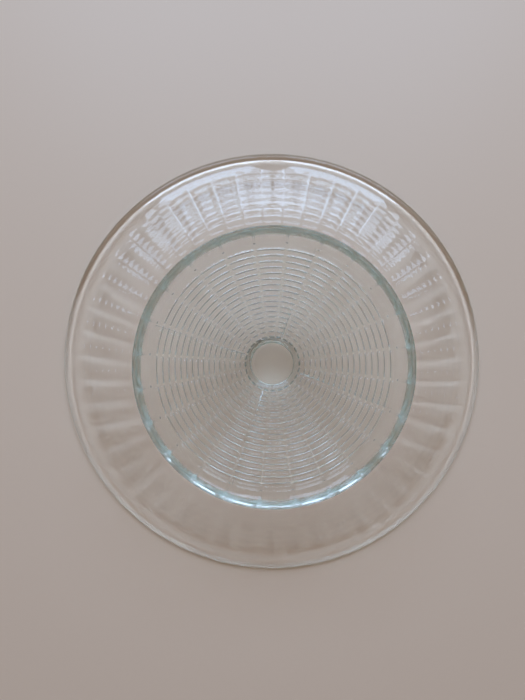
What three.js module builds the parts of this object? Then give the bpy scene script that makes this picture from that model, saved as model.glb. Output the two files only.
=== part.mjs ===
// Low-footed cake plate in clear pressed glass, standing upside down on the rim of its plate.
// Two pressed glass pieces: a shallow dished plate, and a hollow conical foot that opens upwards.
// Millimetres, +Z up, axis of revolution on Z, rim of the plate on z = 0.

import * as THREE from 'three';

// Driving dimensions.
const PLATE_RADIUS = 150;
const PLATE_GLASS = 5.4;            // thickness of the plate in its flat middle
const PLATE_UNDERSIDE_Z = 15.4;     // flat underside of the plate, which faces up here
const FLAT_RADIUS = 90;             // flat this far out, then one shallow curve down to the rim
const LIP_RADIUS = 3;               // round bead along the rim
const LIP_CREASE = 120;             // where the plate's outside meets the bead, in degrees from outwards

const FOOT_HEIGHT = 82;             // resting ring of the foot, above the rim of the plate
const RING_OUTER_RADIUS = 82;
const RING_INNER_RADIUS = 76;
const RING_ROUNDING = 0.9;          // rounded edges of the resting ring
const BELL_CURVE = 15;              // the cone's outside turns up in this curve to the resting ring
const HOLLOW_FLOOR_RADIUS = 14.3;   // flat floor of the hollow inside the foot
const HOLLOW_FLOOR_Z = 27;
const FLOOR_FILLET = 1.5;
const NECK_TOP_RADIUS = 20.6;       // where the solid neck meets the cone
const NECK_TOP_Z = 26;
const WAIST_RADIUS = 15.5;          // narrowest part of the neck
const WAIST_CURVE = 3;              // fillet outside the neck, where the foot spreads on the plate

const JOINT_GAP = 0.3;              // parting between the two pieces
const SIDES = 72;                   // facets round each piece
const ARC_STEPS = 6;                // steps along each rounded stretch

const glass = new THREE.MeshStandardMaterial({
  color: 0xdfe8e3, roughness: 0.05, metalness: 0, transparent: true, opacity: 0.35,
});

const degrees = THREE.MathUtils.radToDeg;

// Points along a circular arc in the (radius, height) plane, angles in degrees from outwards.
function arc(radius, height, curve, from, to, steps = ARC_STEPS) {
  return Array.from({ length: steps + 1 }, (unused, i) => {
    const angle = THREE.MathUtils.degToRad(from + ((to - from) * i) / steps);
    return [radius + curve * Math.cos(angle), height + curve * Math.sin(angle)];
  });
}

// A closed solid of revolution about Z, from an outline that runs anticlockwise.
function turned(name, outline) {
  const points = outline.map(([radius, height]) => new THREE.Vector2(radius, height));
  const geometry = new THREE.LatheGeometry(points, SIDES);
  geometry.rotateX(Math.PI / 2);
  const mesh = new THREE.Mesh(geometry, glass);
  mesh.name = name;
  return mesh;
}

// Plate: flat middle, one shallow curve on each side, and a bead that stands on z = 0.
// The inside runs smoothly into the bead, and the outside meets it in a crease.
function plateOutline() {
  const servingZ = PLATE_UNDERSIDE_Z - PLATE_GLASS;
  const lipR = PLATE_RADIUS - LIP_RADIUS;

  const reach = lipR - FLAT_RADIUS;
  const below = servingZ - LIP_RADIUS;
  const inner = (reach ** 2 + below ** 2 - LIP_RADIUS ** 2) / (2 * (below + LIP_RADIUS));
  const innerEnd = degrees(Math.acos(reach / (inner + LIP_RADIUS)));

  const bead = arc(lipR, LIP_RADIUS, LIP_RADIUS, 0, LIP_CREASE, 8);
  const [creaseR, creaseZ] = bead.at(-1);
  const across = creaseR - FLAT_RADIUS;
  const drop = PLATE_UNDERSIDE_Z - creaseZ;
  const outer = (across ** 2 + drop ** 2) / (2 * drop);
  const outerEnd = 90 - degrees(Math.asin(across / outer));

  return [
    [0, servingZ],
    ...arc(FLAT_RADIUS, servingZ - inner, inner, 90, innerEnd),
    ...arc(lipR, LIP_RADIUS, LIP_RADIUS, innerEnd - 180, -90, 2).slice(1),
    ...arc(lipR, LIP_RADIUS, LIP_RADIUS, -90, 0).slice(1),
    ...bead.slice(1),
    ...arc(FLAT_RADIUS, PLATE_UNDERSIDE_Z - outer, outer, outerEnd, 90).slice(1),
    [0, PLATE_UNDERSIDE_Z],
  ];
}

// Foot: solid neck on the plate, conical wall, and a flat resting ring at the top.
function footOutline() {
  const bottom = PLATE_UNDERSIDE_Z + JOINT_GAP;
  const ringZ = FOOT_HEIGHT - RING_ROUNDING;
  const ringOut = RING_OUTER_RADIUS - RING_ROUNDING;
  const ringIn = RING_INNER_RADIUS + RING_ROUNDING;

  // The cone's outside leaves the neck so that it touches the bell's curve.
  const bellR = RING_OUTER_RADIUS - BELL_CURVE;
  const awayR = bellR - NECK_TOP_RADIUS;
  const awayZ = ringZ - NECK_TOP_Z;
  const lean = degrees(Math.atan2(awayZ, awayR) - Math.asin(BELL_CURVE / Math.hypot(awayR, awayZ)));

  // The hollow's cone, rounded into its flat floor.
  const slope = Math.atan2(ringZ - HOLLOW_FLOOR_Z, RING_INNER_RADIUS - HOLLOW_FLOOR_RADIUS);
  const floorR = HOLLOW_FLOOR_RADIUS - FLOOR_FILLET * Math.tan(slope / 2);

  const waist = arc(WAIST_RADIUS + WAIST_CURVE, bottom + WAIST_CURVE, WAIST_CURVE, 250, 180);
  return [
    [0, bottom],
    [waist[0][0], bottom],
    ...waist,
    [NECK_TOP_RADIUS, NECK_TOP_Z],
    ...arc(bellR, ringZ, BELL_CURVE, lean - 90, 0),
    ...arc(ringOut, ringZ, RING_ROUNDING, 0, 90, 2).slice(1),
    ...arc(ringIn, ringZ, RING_ROUNDING, 90, 180, 2),
    ...arc(floorR, HOLLOW_FLOOR_Z + FLOOR_FILLET, FLOOR_FILLET, degrees(slope) - 90, -90, 3),
    [0, HOLLOW_FLOOR_Z],
  ];
}

const cakePlate = new THREE.Group();
cakePlate.add(turned('plate', plateOutline()), turned('foot', footOutline()));

export default cakePlate;
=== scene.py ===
"""A low-footed cake plate in clear pressed glass, lying face down on a pale floor, seen from above."""

import math

import bpy
import numpy as np
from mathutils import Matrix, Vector


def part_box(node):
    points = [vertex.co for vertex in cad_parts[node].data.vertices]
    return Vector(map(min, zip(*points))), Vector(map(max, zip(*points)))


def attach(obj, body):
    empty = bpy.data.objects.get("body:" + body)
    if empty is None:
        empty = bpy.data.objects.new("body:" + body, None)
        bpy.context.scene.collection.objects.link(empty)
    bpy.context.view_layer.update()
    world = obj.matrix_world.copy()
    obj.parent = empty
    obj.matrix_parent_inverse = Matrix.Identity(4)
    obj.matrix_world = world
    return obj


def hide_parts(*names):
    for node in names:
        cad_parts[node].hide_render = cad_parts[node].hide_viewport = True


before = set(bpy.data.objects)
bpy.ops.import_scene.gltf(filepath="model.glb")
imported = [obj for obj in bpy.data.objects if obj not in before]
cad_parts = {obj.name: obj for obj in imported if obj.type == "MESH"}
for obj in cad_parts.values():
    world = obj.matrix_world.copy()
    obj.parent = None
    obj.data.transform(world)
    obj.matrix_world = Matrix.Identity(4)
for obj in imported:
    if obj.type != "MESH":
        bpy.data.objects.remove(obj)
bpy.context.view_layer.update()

MM = 0.001
FULL_TURN = 2 * math.pi

# Sizes that the frame gives.
PLATE_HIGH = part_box("plate")[1]
FOOT_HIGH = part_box("foot")[1]
PLATE_RADIUS = PLATE_HIGH.x
UNDERSIDE_Z = PLATE_HIGH.z
RING_RADIUS = FOOT_HIGH.x
FOOT_TOP_Z = FOOT_HIGH.z

# The plate's own sizes.
PLATE_GLASS = 5.4 * MM         # in its flat middle
FLAT_RADIUS = 90 * MM          # flat this far out, then one shallow curve down to the rim
LIP_RADIUS = 3 * MM            # round bead along the rim
LIP_CREASE = 120               # where the plate's outside meets the bead, in degrees from outwards

# The foot's own sizes.
RING_INNER_RADIUS = 76 * MM
RING_ROUNDING = 0.9 * MM
BELL_CURVE = 15 * MM           # the cone's outside turns up in this curve to the resting ring
HOLLOW_FLOOR_RADIUS = 14.3 * MM
HOLLOW_FLOOR_Z = 27 * MM       # flat floor of the foot's hollow
FLOOR_FILLET = 1.5 * MM
WAIST_RADIUS = 15.5 * MM       # narrowest part of the solid neck
WAIST_CURVE = 3 * MM           # where the neck meets the plate
NECK_TOP = (20.6 * MM, 26 * MM)  # radius and height where the neck meets the patterned cone
FOOT_START = 50 * MM           # the plate's underside within this radius is meshed with the foot
AXIS_HOLE = 1 * MM             # the innermost ring round the axis, closed by a fan

# The pressed pattern: rows of small cushions, with plain raised lines between their columns.
# A cushion is (how far it swells between two valleys, the power that squares its crest).
# A line is (width of its top, width of its foot).
# Mesh points lie at ROW_STOPS, shares of one row, and at the NEAR degrees on each side of a line.
ROW_STOPS = (0, 0.04, 0.1, 0.2, 0.35, 0.5, 0.65, 0.8, 0.9, 0.96)

FOOT_LINES = 24
FOOT_PHASE = math.radians(84)
FOOT_ROWS = 17
FOOT_CUSHION = (0.8 * MM, 3)
FOOT_LINE = (1.3 * MM, 2.8 * MM)
FOOT_LINE_HEIGHT = 0.3 * MM
FOOT_NEAR = (0, 0.35, 0.8, 1.5)
FOOT_BETWEEN = 3               # mesh points between the close ones of two lines

NOTCH = (0.2 * MM, 1.6 * MM)   # width of a notch's floor and of its mouth, at the resting ring
NOTCH_DEPTH = 0.5 * MM

PLATE_LINES = 48
PLATE_PHASE = math.radians(86)
PLATE_ROWS = 10
PLATE_CUSHION = (0.45 * MM, 3)
PLATE_LINE = (1.5 * MM, 3.0 * MM)
PLATE_LINE_HEIGHT = 0.35 * MM
PLATE_NEAR = (0, 0.3, 0.65)
PLATE_BETWEEN = 1
PLATE_PATTERN_RADIUS = 139 * MM
PATTERN_FADE_ROWS = 2          # the plate's pattern dies away over its innermost rows

# Raised lines on the foot that the four parts of its mould leave.
SEAMS = 4
SEAM_PHASE = math.radians(70.7)
SEAM_WIDTH = 1.0 * MM
SEAM_HEIGHT = 0.5 * MM
SEAM_NEAR = (-0.4, 0, 0.4)

# Glass.
GLASS_IOR = 1.5
ABSORPTION_COLOUR = (0.55, 0.8, 0.76, 1)
ABSORPTION_DENSITY = 7
WEAR_SCALE = 30                # blotches where handling has dulled the polish a little
WEAR_ROUGHNESS = 0.03
WAVE_SCALE = 50                # slow waves that pressing leaves in the surface
WAVE_DEPTH = 0.3 * MM
WAVE_STRENGTH = 0.1
LIGHT_BOUNCES = 32             # light runs round inside the resting ring before it leaves

# Floor, room and windows.
FLOOR_HALF = 12
FLOOR_COLOUR = (0.74, 0.605, 0.49, 1)
FLOOR_ROUGHNESS = 0.45
HORIZON = (0.2, (0.03, 0.025, 0.02, 1))    # the room's colour up to this share of the way to the top
CEILING = (0.75, (0.4, 0.34, 0.3, 1))      # and from this share upwards
WINDOW_SIZE = (0.81, 0.86)
WINDOW_DISTANCE = 1.8
WINDOW_ELEVATION = math.radians(46.5)
WINDOW_POWER = 11
WINDOW_COLOUR = (0.54, 0.73, 1.0)
WINDOW_AZIMUTHS = {"window_left": -20, "window_right": 22.5}

# Camera, almost straight above.
CAMERA_PLACE = (-7.0 * MM, 15.5 * MM, 384 * MM)
CAMERA_TILT = (math.radians(-0.98), math.radians(-0.05), 0)
CAMERA_LENS = 27.05
SENSOR_WIDTH = 36
CLIP_START = 0.01


def rows_apart(count):
    """Shares of the way along an outline where count rows of cushions need points."""
    return np.append((np.arange(count)[:, None] + ROW_STOPS).ravel(), count) / count


def stretch(start, end, step, shares=None):
    """Points from start to end, both included, no further apart than step or at given shares of the way."""
    start, end = np.array(start), np.array(end)
    if shares is None:
        shares = np.linspace(0, 1, max(1, math.ceil(np.linalg.norm(end - start) / step)) + 1)
    return start + (end - start) * shares[:, None]


def arc(centre, radius, first, last, step, shares=None):
    """The same on an arc in the radius-height plane, angles in degrees from outwards."""
    if shares is None:
        length = abs(math.radians(last - first)) * radius
        shares = np.linspace(0, 1, max(2, math.ceil(length / step)) + 1)
    turn = np.radians(first + (last - first) * shares)
    return np.array(centre) + radius * np.stack([np.cos(turn), np.sin(turn)], axis=1)


def joined(*stretches):
    """One outline from stretches that meet end to end, and the slice that each one takes."""
    points = [stretches[0]]
    spans = [slice(0, len(stretches[0]))]
    count = len(stretches[0])
    for part in stretches[1:]:
        points.append(part[1:])
        spans.append(slice(count - 1, count + len(part) - 1))
        count += len(part) - 1
    return np.concatenate(points), spans


def normals(points):
    """Outward normals of an anticlockwise outline, at its points."""
    along = np.gradient(points, axis=0)
    along /= np.linalg.norm(along, axis=1)[:, None]
    return np.stack([along[:, 1], -along[:, 0]], axis=1)


def angles(lines, phase, near, between, extra=()):
    """Angles round the axis, fine close to each of the evenly spaced lines and coarser between them."""
    pitch = FULL_TURN / lines
    close = np.radians(near)
    cell = np.concatenate([-close, close, np.linspace(close[-1], pitch - close[-1], between + 2)])
    turn = np.concatenate([(phase + np.arange(lines)[:, None] * pitch + cell).ravel(), extra])
    return np.unique(np.round(turn % FULL_TURN, 6))


def off_line(turn, lines, phase):
    """How far each angle is from the nearest of the evenly spaced lines, in radians."""
    pitch = FULL_TURN / lines
    place = (turn - phase) / pitch
    return np.abs(place - np.round(place)) * pitch


def ramp(off, width):
    """1 within half the first width of a line's middle, falling smoothly to 0 at half the second."""
    top, foot = width
    share = np.clip((foot / 2 - off) / (foot / 2 - top / 2), 0, 1)
    return share * share * (3 - 2 * share)


def cushions(count, shape):
    """How far below its crests a line of count cushions lies, at the points that rows_apart gives."""
    depth, power = shape
    share = np.abs(2 * (rows_apart(count) * count % 1) - 1)
    return depth * (share ** power)[:, None]


def to_end(count, rows):
    """1 along count rows, falling to 0 at their end over the given number of rows."""
    return np.clip((1 - rows_apart(count)) * count / rows, 0, 1)[:, None]


def surface(points, turn, lift):
    """Rings of points round the axis, moved out along the outline's normal by lift[point, angle]."""
    out = normals(points)
    radius = points[:, :1] + out[:, :1] * lift
    height = points[:, 1:] + out[:, 1:] * lift
    return np.stack([radius * np.cos(turn), radius * np.sin(turn), height], axis=-1)


def zip_rings(first, first_turn, second, second_turn):
    """Triangles between two rings that have different numbers of points."""
    faces = []
    i = j = 0
    n, m = len(first), len(second)
    while i < n or j < m:
        next_i = first_turn[i + 1] if i + 1 < n else first_turn[0] + FULL_TURN
        next_j = second_turn[j + 1] if j + 1 < m else second_turn[0] + FULL_TURN
        if j >= m or (i < n and next_i <= next_j):
            faces.append([first[i], first[(i + 1) % n], second[j % m]])
            i += 1
        else:
            faces.append([first[i % n], second[(j + 1) % m], second[j]])
            j += 1
    return faces


def plate_outline():
    """The plate from the middle of its serving face, round the rim and in over its underside."""
    serving_z = UNDERSIDE_Z - PLATE_GLASS
    bead = (PLATE_RADIUS - LIP_RADIUS, LIP_RADIUS)

    # Underside: from the flat middle to the crease at the bead.
    crease_r, crease_z = arc(bead, LIP_RADIUS, 0, LIP_CREASE, LIP_RADIUS)[-1]
    across, drop = crease_r - FLAT_RADIUS, UNDERSIDE_Z - crease_z
    outer = (across ** 2 + drop ** 2) / (2 * drop)
    outer_end = 90 - math.degrees(math.asin(across / outer))
    pattern_end = math.degrees(math.acos((PLATE_PATTERN_RADIUS - FLAT_RADIUS) / outer))

    # Serving side: from the flat middle smoothly into the bead.
    reach, fall = bead[0] - FLAT_RADIUS, serving_z - LIP_RADIUS
    inner = (reach ** 2 + fall ** 2 - LIP_RADIUS ** 2) / (2 * (fall + LIP_RADIUS))
    inner_end = math.degrees(math.acos(reach / (inner + LIP_RADIUS)))

    underside = (FLAT_RADIUS, UNDERSIDE_Z - outer)
    return joined(
        stretch((AXIS_HOLE, serving_z), (FLAT_RADIUS, serving_z), 20 * MM),
        arc((FLAT_RADIUS, serving_z - inner), inner, 90, inner_end, 10 * MM),
        arc(bead, LIP_RADIUS, inner_end - 180, 0, 0.8 * MM),
        arc(bead, LIP_RADIUS, 0, LIP_CREASE, 0.7 * MM),
        arc(underside, outer, outer_end, pattern_end, 2.5 * MM),
        arc(underside, outer, pattern_end, 90, None, rows_apart(PLATE_ROWS)),
    )


def plate_rings():
    """The plate's surface, with its pattern pressed into the underside."""
    points, spans = plate_outline()
    turn = angles(PLATE_LINES, PLATE_PHASE, PLATE_NEAR, PLATE_BETWEEN)
    zone = spans[-1]
    line = ramp(off_line(turn, PLATE_LINES, PLATE_PHASE) * points[zone][:, :1], PLATE_LINE)
    first_row = np.clip(rows_apart(PLATE_ROWS) * PLATE_ROWS, 0, 1)[:, None]
    pressed = PLATE_LINE_HEIGHT + cushions(PLATE_ROWS, PLATE_CUSHION)
    lift = np.zeros((len(points), len(turn)))
    lift[zone] = -pressed * (1 - line) * to_end(PLATE_ROWS, PATTERN_FADE_ROWS) * first_row
    return surface(points, turn, lift), turn


def cone_slope(bell):
    """Slope of the cone's outside, from the neck to where it touches the bell's curve."""
    centre = np.subtract(bell, NECK_TOP)
    return math.atan2(centre[1], centre[0]) - math.asin(BELL_CURVE / np.linalg.norm(centre))


def foot_outline():
    """The foot from the plate's underside, up the cone, over the resting ring and down inside."""
    waist = (WAIST_RADIUS + WAIST_CURVE, UNDERSIDE_Z + WAIST_CURVE)
    ring_in = RING_INNER_RADIUS + RING_ROUNDING
    ring_out = RING_RADIUS - RING_ROUNDING
    ring_z = FOOT_TOP_Z - RING_ROUNDING

    # Outside: the straight cone runs into the bell's curve.
    bell = (RING_RADIUS - BELL_CURVE, ring_z)
    lean = math.degrees(cone_slope(bell))
    bell_curve = arc(bell, BELL_CURVE, lean - 90, 0, 1.0 * MM)

    # Inside: the straight cone is rounded into the hollow's flat floor.
    slope = math.atan2(ring_z - HOLLOW_FLOOR_Z, RING_INNER_RADIUS - HOLLOW_FLOOR_RADIUS)
    fillet_r = HOLLOW_FLOOR_RADIUS - FLOOR_FILLET * math.tan(slope / 2)
    inner = math.degrees(slope)
    mouth = arc((ring_in, ring_z), RING_ROUNDING, 90, 90 + inner, 0.3 * MM)
    fillet = arc((fillet_r, HOLLOW_FLOOR_Z + FLOOR_FILLET), FLOOR_FILLET, inner - 90, -90, 0.3 * MM)

    return joined(
        stretch((FOOT_START, UNDERSIDE_Z), (waist[0], UNDERSIDE_Z), 5 * MM),
        arc(waist, WAIST_CURVE, 270, 180, 0.5 * MM),
        stretch((WAIST_RADIUS, waist[1]), NECK_TOP, 1.2 * MM),
        stretch(NECK_TOP, bell_curve[0], None, rows_apart(FOOT_ROWS)),
        bell_curve,
        arc((ring_out, ring_z), RING_ROUNDING, 0, 90, 0.3 * MM),
        stretch((ring_out, FOOT_TOP_Z), (ring_in, FOOT_TOP_Z), 1 * MM),
        mouth,
        stretch(mouth[-1], fillet[0], 8 * MM),
        fillet,
        stretch((fillet_r, HOLLOW_FLOOR_Z), (AXIS_HOLE, HOLLOW_FLOOR_Z), 7 * MM),
    )


def foot_rings():
    """The foot's surface, with the pattern and seams on its cone and notches in the bell's curve."""
    points, spans = foot_outline()
    seam_turn = SEAM_PHASE + np.arange(SEAMS)[:, None] * FULL_TURN / SEAMS + np.radians(SEAM_NEAR)
    turn = angles(FOOT_LINES, FOOT_PHASE, FOOT_NEAR, FOOT_BETWEEN, seam_turn.ravel())
    off = off_line(turn, FOOT_LINES, FOOT_PHASE)
    cone, bell = spans[3], spans[4]
    cone_radius = points[cone][:, :1]
    line = ramp(off * cone_radius, FOOT_LINE)
    off_seam = off_line(turn, SEAMS, SEAM_PHASE) * cone_radius
    lift = np.zeros((len(points), len(turn)))
    lift[cone] = FOOT_LINE_HEIGHT * line - cushions(FOOT_ROWS, FOOT_CUSHION) * (1 - line)
    lift[cone] *= to_end(FOOT_ROWS, 0.5)
    lift[cone] += SEAM_HEIGHT * np.clip(1 - off_seam / (SEAM_WIDTH / 2), 0, 1)
    lift[bell] = -NOTCH_DEPTH * ramp(off * RING_RADIUS, NOTCH)
    return surface(points, turn, lift), turn


def glass_body():
    """The fused plate and foot, as one closed surface."""
    plate, plate_turn = plate_rings()
    foot, foot_turn = foot_rings()
    verts = np.concatenate([plate.reshape(-1, 3), foot.reshape(-1, 3)]).tolist()
    plate_index = np.arange(plate.shape[0] * plate.shape[1]).reshape(plate.shape[:2])
    foot_index = plate_index.size + np.arange(foot.shape[0] * foot.shape[1]).reshape(foot.shape[:2])
    faces = []
    for index in (plate_index, foot_index):
        low, high = index[:-1], index[1:]
        quads = np.stack([low, np.roll(low, -1, 1), np.roll(high, -1, 1), high], axis=-1)
        faces += quads.reshape(-1, 4).tolist()
    faces += zip_rings(plate_index[-1].tolist(), plate_turn, foot_index[0].tolist(), foot_turn)

    # A fan closes each end of the surface on the axis.
    bottom, top = len(verts), len(verts) + 1
    verts += [(0, 0, UNDERSIDE_Z - PLATE_GLASS), (0, 0, HOLLOW_FLOOR_Z)]
    first, last = plate_index[0], foot_index[-1]
    faces += [[bottom, int(b), int(a)] for a, b in zip(first, np.roll(first, -1))]
    faces += [[top, int(a), int(b)] for a, b in zip(last, np.roll(last, -1))]

    mesh = bpy.data.meshes.new("pressed_glass_body")
    mesh.from_pydata(verts, [], faces)
    mesh.shade_smooth()
    mesh.materials.append(glass_material())
    piece = bpy.data.objects.new("pressed_glass_body", mesh)
    bpy.context.scene.collection.objects.link(piece)
    return piece


def glass_material():
    """Clear glass, faintly green where it is thick, with slow waves and slightly dulled patches."""
    material = bpy.data.materials.new("pressed_glass")
    material.use_nodes = True
    tree = material.node_tree
    shader = tree.nodes["Principled BSDF"]
    shader.inputs["Base Color"].default_value = (1, 1, 1, 1)
    shader.inputs["Transmission Weight"].default_value = 1
    shader.inputs["IOR"].default_value = GLASS_IOR
    place = tree.nodes.new("ShaderNodeTexCoord")

    wear = tree.nodes.new("ShaderNodeTexNoise")
    wear.inputs["Scale"].default_value = WEAR_SCALE
    wear.inputs["Detail"].default_value = 4
    spread = tree.nodes.new("ShaderNodeMapRange")
    spread.inputs["From Min"].default_value = 0.5
    spread.inputs["From Max"].default_value = 0.8
    spread.inputs["To Max"].default_value = WEAR_ROUGHNESS
    tree.links.new(place.outputs["Object"], wear.inputs["Vector"])
    tree.links.new(wear.outputs["Fac"], spread.inputs["Value"])
    tree.links.new(spread.outputs["Result"], shader.inputs["Roughness"])

    wave = tree.nodes.new("ShaderNodeTexNoise")
    wave.inputs["Scale"].default_value = WAVE_SCALE
    wave.inputs["Detail"].default_value = 1
    bump = tree.nodes.new("ShaderNodeBump")
    bump.inputs["Strength"].default_value = WAVE_STRENGTH
    bump.inputs["Distance"].default_value = WAVE_DEPTH
    tree.links.new(place.outputs["Object"], wave.inputs["Vector"])
    tree.links.new(wave.outputs["Fac"], bump.inputs["Height"])
    tree.links.new(bump.outputs["Normal"], shader.inputs["Normal"])

    volume = tree.nodes.new("ShaderNodeVolumeAbsorption")
    volume.inputs["Color"].default_value = ABSORPTION_COLOUR
    volume.inputs["Density"].default_value = ABSORPTION_DENSITY
    tree.links.new(volume.outputs[0], tree.nodes["Material Output"].inputs["Volume"])
    return material


def floor_material():
    material = bpy.data.materials.new("pale_floor")
    material.use_nodes = True
    shader = material.node_tree.nodes["Principled BSDF"]
    shader.inputs["Base Color"].default_value = FLOOR_COLOUR
    shader.inputs["Roughness"].default_value = FLOOR_ROUGHNESS
    return material


def floor():
    mesh = bpy.data.meshes.new("floor")
    corners = [(x * FLOOR_HALF, y * FLOOR_HALF, 0) for x, y in ((-1, -1), (1, -1), (1, 1), (-1, 1))]
    mesh.from_pydata(corners, [], [(0, 1, 2, 3)])
    mesh.materials.append(floor_material())
    piece = bpy.data.objects.new("floor", mesh)
    bpy.context.scene.collection.objects.link(piece)


def camera():
    data = bpy.data.cameras.new("camera")
    data.lens = CAMERA_LENS
    data.sensor_width = SENSOR_WIDTH
    data.clip_start = CLIP_START
    eye = bpy.data.objects.new("camera", data)
    eye.location = CAMERA_PLACE
    eye.rotation_euler = CAMERA_TILT
    bpy.context.scene.collection.objects.link(eye)
    bpy.context.scene.camera = eye


def window(name, azimuth):
    """A soft rectangular light that faces the plate. Its azimuth is in degrees from +Y towards +X."""
    data = bpy.data.lights.new(name, "AREA")
    data.shape = "RECTANGLE"
    data.size, data.size_y = WINDOW_SIZE
    data.energy = WINDOW_POWER
    data.color = WINDOW_COLOUR
    lamp = bpy.data.objects.new(name, data)
    level = math.cos(WINDOW_ELEVATION)
    a = math.radians(azimuth)
    towards = Vector((math.sin(a) * level, math.cos(a) * level, math.sin(WINDOW_ELEVATION)))
    lamp.location = towards * WINDOW_DISTANCE
    lamp.rotation_euler = towards.to_track_quat("Z", "Y").to_euler()
    bpy.context.scene.collection.objects.link(lamp)


def room():
    """Even light from all round, dim at the horizon and brighter overhead."""
    world = bpy.data.worlds.new("room")
    bpy.context.scene.world = world
    world.use_nodes = True
    tree = world.node_tree
    place = tree.nodes.new("ShaderNodeTexCoord")
    split = tree.nodes.new("ShaderNodeSeparateXYZ")
    shade = tree.nodes.new("ShaderNodeValToRGB")
    for element, (position, colour) in zip(shade.color_ramp.elements, (HORIZON, CEILING)):
        element.position = position
        element.color = colour
    tree.links.new(place.outputs["Generated"], split.inputs[0])
    tree.links.new(split.outputs["Z"], shade.inputs[0])
    tree.links.new(shade.outputs[0], tree.nodes["Background"].inputs["Color"])


def viewing():
    """Plain colours, and enough bounces for light to find its way out of thick glass."""
    scene = bpy.context.scene
    scene.view_settings.view_transform = "Standard"
    scene.cycles.blur_glossy = 0
    scene.cycles.max_bounces = LIGHT_BOUNCES
    scene.cycles.transmission_bounces = LIGHT_BOUNCES
    scene.cycles.glossy_bounces = LIGHT_BOUNCES


camera()
floor()
room()
for name, azimuth in WINDOW_AZIMUTHS.items():
    window(name, azimuth)
viewing()

body = glass_body()
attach(body, "root")
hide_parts("plate", "foot")
